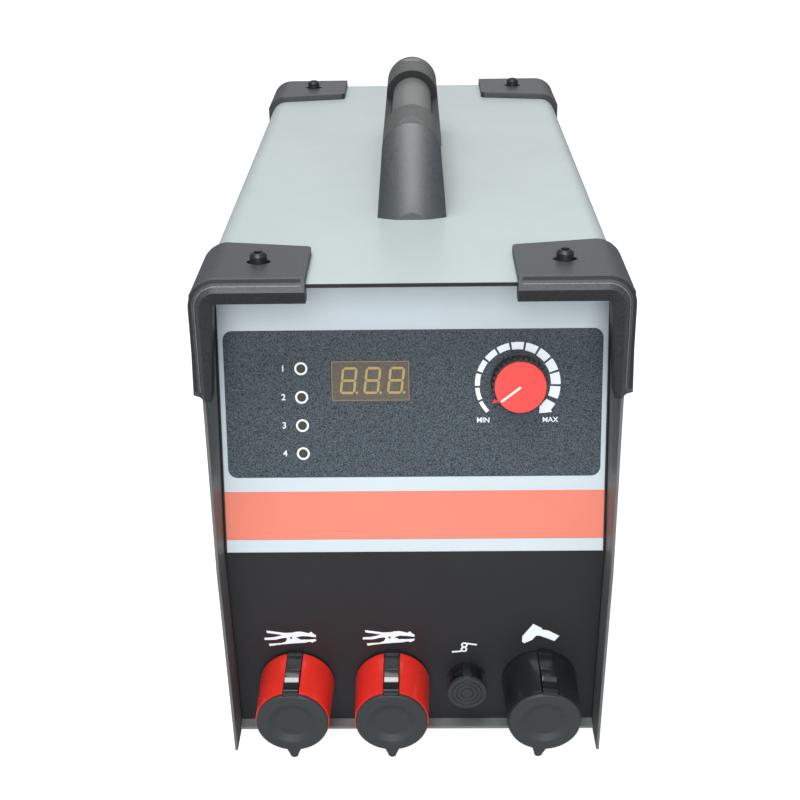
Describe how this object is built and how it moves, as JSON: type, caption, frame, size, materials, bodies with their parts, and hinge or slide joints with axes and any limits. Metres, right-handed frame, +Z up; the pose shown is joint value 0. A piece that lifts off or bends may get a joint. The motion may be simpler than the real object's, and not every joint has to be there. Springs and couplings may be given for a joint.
{
  "type": "stud welder",
  "caption": "Portable capacitor-discharge stud welder in a sheet-steel cabinet with carrying handle, corner guards, control panel, capped weld sockets and rear fan.",
  "frame": {"origin": "on the floor below the middle of the machine", "axes": "+Z up, -Y towards the control panel, +X to the right seen from the front"},
  "size_m": [0.2178, 0.4534, 0.344],
  "materials": {
    "cover_paint": "satin powder coat",
    "panel_paint": "fine textured paint",
    "tray_paint": "satin powder coat",
    "overlay_pale": "printed film",
    "overlay_dark": "printed film, fine grain",
    "overlay_coral": "printed film",
    "display_amber": "smoked",
    "lamp_lens": "diffuse",
    "circuit": "solder mask",
    "zinc": "zinc plated",
    "knob_black": "moulded",
    "knob_red": "moulded",
    "collar_red": "moulded",
    "collar_black": "moulded",
    "insulator": "moulded",
    "contact_brass": "turned",
    "cap_rubber": "moulded",
    "strap_rubber": "glossy moulded",
    "foot_rubber": "moulded",
    "connector_black": "black shell",
    "handle_plastic": "textured",
    "grip_plastic": "smooth",
    "guard_plastic": "fine grain",
    "screw_black": "black oxide",
    "can_sleeve": "shrink sleeve",
    "copper": "bare copper",
    "core_iron": "laminations",
    "aluminium": "extruded",
    "module_black": "moulded",
    "switch_black": "moulded",
    "switch_red": "moulded"
  },
  "bodies": {
    "cabinet": {"cover": "cover_paint", "front_panel": "panel_paint", "rear_panel": "panel_paint", "base_tray": "tray_paint", "overlay_film": "overlay_pale", "control_field": "overlay_dark", "accent_band": "overlay_coral", "display_module": "display_amber", "indicator_lamps": "lamp_lens", "control_board": "circuit", "power_board": "circuit", "board_standoffs": "zinc", "potentiometer": "zinc", "panel_nuts": "zinc", "handle_bolts": "zinc", "foot_screws": "zinc", "tray_rivets": "zinc", "capacitor_frame": "zinc", "socket_collar_left": "collar_red", "socket_collar_middle": "collar_red", "socket_collar_right": "collar_black", "socket_body_left": "insulator", "socket_body_middle": "insulator", "socket_body_right": "insulator", "connector_insert": "insulator", "socket_contact_left": "contact_brass", "socket_contact_middle": "contact_brass", "socket_contact_right": "contact_brass", "socket_strap_left": "strap_rubber", "socket_strap_middle": "strap_rubber", "socket_strap_right": "strap_rubber", "connector_strap": "strap_rubber", "rubber_feet": "foot_rubber", "connector_shell": "connector_black", "handle_body": "handle_plastic", "handle_grip": "grip_plastic", "guard_front_left": "guard_plastic", "guard_front_right": "guard_plastic", "guard_rear_left": "guard_plastic", "guard_rear_right": "guard_plastic", "guard_screws": "screw_black", "panel_screws": "screw_black", "capacitors": "can_sleeve", "bus_bars": "copper", "transformer_coil": "copper", "transformer_core": "core_iron", "heat_sink": "aluminium", "thyristor": "module_black", "fan_frame": "module_black", "cable_gland": "module_black", "switch_body": "switch_black"},
    "knob": {"potentiometer_shaft": "zinc", "knob_body": "knob_black", "knob_cap": "knob_red"},
    "cap_left": {"socket_cap_left": "cap_rubber"},
    "cap_middle": {"socket_cap_middle": "cap_rubber"},
    "cap_right": {"socket_cap_right": "cap_rubber"},
    "connector_lid": {"connector_cap": "cap_rubber"},
    "fan": {"fan_impeller": "module_black"},
    "rocker": {"switch_rocker": "switch_red"}
  },
  "joints": [
    {"name": "knob_turn", "type": "hinge", "parent": "cabinet", "child": "knob", "pos_m": [0.05551, -0.16568, 0.2251], "axis": [0, 0.9636, -0.2672], "range_deg": [0, 258]},
    {"name": "cap_left_hinge", "type": "hinge", "parent": "cabinet", "child": "cap_left", "pos_m": [-0.0686, -0.22266, 0.0649], "axis": [-1, 0, 0], "range_deg": [0, 105]},
    {"name": "cap_middle_hinge", "type": "hinge", "parent": "cabinet", "child": "cap_middle", "pos_m": [-0.0135, -0.22266, 0.0649], "axis": [-1, 0, 0], "range_deg": [0, 105]},
    {"name": "cap_right_hinge", "type": "hinge", "parent": "cabinet", "child": "cap_right", "pos_m": [0.07343, -0.22266, 0.06475], "axis": [-0.9925, 0, 0.1219], "range_deg": [0, 105]},
    {"name": "connector_cap_hinge", "type": "hinge", "parent": "cabinet", "child": "connector_lid", "pos_m": [0.0291, -0.20016, 0.057], "axis": [-1, 0, 0], "range_deg": [0, 105]},
    {"name": "fan_spin", "type": "hinge", "parent": "cabinet", "child": "fan", "pos_m": [0, 0.20266, 0.188], "axis": [0, 1, 0], "continuous": true},
    {"name": "switch_rock", "type": "hinge", "parent": "cabinet", "child": "rocker", "pos_m": [0.055, 0.19966, 0.068], "axis": [-1, 0, 0], "range_deg": [0, 20]}
  ]
}
